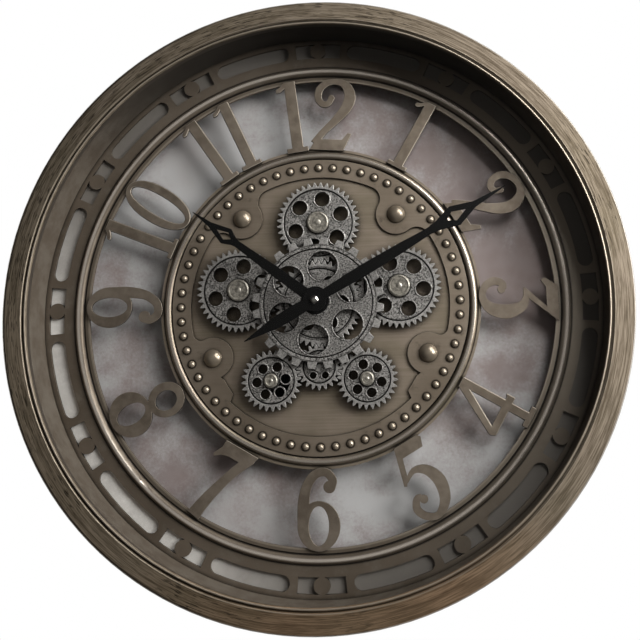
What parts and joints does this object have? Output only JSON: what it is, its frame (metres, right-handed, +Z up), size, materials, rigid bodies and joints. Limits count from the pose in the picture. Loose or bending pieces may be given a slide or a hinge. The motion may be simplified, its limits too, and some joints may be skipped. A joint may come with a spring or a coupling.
{
  "type": "gear wall clock",
  "caption": "Round wall clock with a deep frame and glass, an open dial with bridging numerals, turning gears on its centre plate, and two black hands",
  "frame": {"origin": "on the hand axis, in the plane of the rear rim that rests on the wall", "axes": "-Y is the way the dial faces, +Z is up to twelve o'clock, +X is toward three o'clock"},
  "size_m": [0.53, 0.076, 0.53],
  "materials": {
    "frame_bronze": "antique bronze paint with circular brush streaks",
    "pane_glass": "clear flat glass",
    "seal_black": "black",
    "dial_bronze": "taupe bronze paint with pale rubbed edges",
    "spacer_zinc": "galvanised sheet",
    "panel_zinc": "cloudy galvanised sheet",
    "zinc_steel": "zinc plated",
    "plate_bronze": "taupe bronze paint",
    "border_bronze": "brushed bronze paint",
    "stud_bronze": "pale rubbed bronze paint",
    "rivet_bronze": "semi-gloss bronze paint",
    "numeral_bronze": "taupe bronze paint",
    "gear_pewter": "speckled pewter paint",
    "post_pewter": "dull pewter",
    "hand_black": "matte black paint",
    "nut_bright": "bright nickel",
    "movement_black": "fine grained black moulding",
    "brass_work": "turned brass",
    "wheel_ivory": "ivory moulding",
    "copper_coil": "enamelled copper wire",
    "board_green": "green solder mask",
    "cell_sleeve": "printed sleeve, plain",
    "motor_can": "plain drawn can",
    "switch_white": "pale moulding"
  },
  "bodies": {
    "clock_body": {"frame_ring": "frame_bronze", "glass_pane": "pane_glass", "glass_retainer": "seal_black", "dial_ring": "dial_bronze", "spacer_ring": "spacer_zinc", "back_panel": "panel_zinc", "panel_screws_rear": "zinc_steel", "hanger_plate": "zinc_steel", "hanger_screws": "zinc_steel", "centre_plate": "plate_bronze", "border_plate": "border_bronze", "minute_studs": "stud_bronze", "dome_rivets": "rivet_bronze", "plate_standoffs": "zinc_steel", "standoff_screws": "zinc_steel", "numeral_1": "numeral_bronze", "numeral_2": "numeral_bronze", "numeral_3": "numeral_bronze", "numeral_4": "numeral_bronze", "numeral_5": "numeral_bronze", "numeral_6": "numeral_bronze", "numeral_7": "numeral_bronze", "numeral_8": "numeral_bronze", "numeral_9": "numeral_bronze", "numeral_10": "numeral_bronze", "numeral_11": "numeral_bronze", "numeral_12": "numeral_bronze", "gear_posts": "post_pewter", "post_nuts": "zinc_steel", "sun_clip": "zinc_steel", "gear_motor": "motor_can", "motor_screws": "zinc_steel", "movement_case": "movement_black", "movement_cover": "movement_black", "fixing_nut": "brass_work", "drive_coil": "copper_coil", "stator_plate": "zinc_steel", "circuit_board": "board_green", "clock_cell": "cell_sleeve", "cell_contacts": "zinc_steel", "battery_box": "movement_black", "gear_cells": "cell_sleeve"},
    "sun_wheel": {"sun_gear": "gear_pewter", "front_gear": "gear_pewter"},
    "top_wheel": {"top_gear": "gear_pewter"},
    "left_wheel": {"left_gear": "gear_pewter"},
    "right_wheel": {"right_gear": "gear_pewter"},
    "pinion_shaft": {"drive_pinion": "gear_pewter", "motor_shaft": "zinc_steel"},
    "lower_left_wheel": {"lower_left_gear": "gear_pewter"},
    "lower_right_wheel": {"lower_right_gear": "gear_pewter"},
    "minute_work": {"minute_arbor": "brass_work", "minute_hand": "hand_black", "hand_nut": "nut_bright"},
    "hour_work": {"hour_tube": "brass_work", "hour_hand": "hand_black"},
    "setting_work": {"minute_wheel": "wheel_ivory", "setting_knob": "movement_black"},
    "rotor": {"step_rotor": "zinc_steel"},
    "switch": {"switch_slider": "switch_white"}
  },
  "joints": [
    {"name": "gear_train_turn", "type": "hinge", "parent": "clock_body", "child": "sun_wheel", "pos_m": [0, -0.039, 0], "axis": [0, 1, 0], "continuous": true},
    {"name": "top_gear_turn", "type": "hinge", "parent": "clock_body", "child": "top_wheel", "pos_m": [0, -0.039, 0.07175], "axis": [0, 1, 0], "continuous": true},
    {"name": "left_gear_turn", "type": "hinge", "parent": "clock_body", "child": "left_wheel", "pos_m": [-0.07053, -0.039, 0.0132], "axis": [0, 1, 0], "continuous": true},
    {"name": "right_gear_turn", "type": "hinge", "parent": "clock_body", "child": "right_wheel", "pos_m": [0.07053, -0.039, 0.0132], "axis": [0, 1, 0], "continuous": true},
    {"name": "pinion_turn", "type": "hinge", "parent": "clock_body", "child": "pinion_shaft", "pos_m": [0, -0.039, -0.05513], "axis": [0, 1, 0], "continuous": true},
    {"name": "lower_left_turn", "type": "hinge", "parent": "clock_body", "child": "lower_left_wheel", "pos_m": [-0.04147, -0.039, -0.066], "axis": [0, 1, 0], "continuous": true},
    {"name": "lower_right_turn", "type": "hinge", "parent": "clock_body", "child": "lower_right_wheel", "pos_m": [0.04147, -0.039, -0.066], "axis": [0, 1, 0], "continuous": true},
    {"name": "minute_turn", "type": "hinge", "parent": "clock_body", "child": "minute_work", "pos_m": [0, -0.065, 0], "axis": [0, 1, 0], "continuous": true},
    {"name": "hour_turn", "type": "hinge", "parent": "clock_body", "child": "hour_work", "pos_m": [0, -0.0606, 0], "axis": [0, 1, 0], "continuous": true},
    {"name": "setting_turn", "type": "hinge", "parent": "clock_body", "child": "setting_work", "pos_m": [0.00873, -0.012, 0.00504], "axis": [0, 1, 0], "continuous": true},
    {"name": "rotor_turn", "type": "hinge", "parent": "clock_body", "child": "rotor", "pos_m": [-0.014, -0.0231, 0.008], "axis": [0, 1, 0], "continuous": true},
    {"name": "switch_slide", "type": "slide", "parent": "clock_body", "child": "switch", "axis": [1, 0, 0], "range_m": [-0.002, 0.002]}
  ],
  "couplings": [
    {"joint": "top_gear_turn", "follows": "gear_train_turn", "ratio": -1.05},
    {"joint": "left_gear_turn", "follows": "gear_train_turn", "ratio": -1.05},
    {"joint": "right_gear_turn", "follows": "gear_train_turn", "ratio": -1.05},
    {"joint": "pinion_turn", "follows": "gear_train_turn", "ratio": -2},
    {"joint": "lower_left_turn", "follows": "gear_train_turn", "ratio": 1.5},
    {"joint": "lower_right_turn", "follows": "gear_train_turn", "ratio": 1.5},
    {"joint": "hour_turn", "follows": "minute_turn", "ratio": 0.083333},
    {"joint": "setting_turn", "follows": "minute_turn", "ratio": -0.33333}
  ]
}
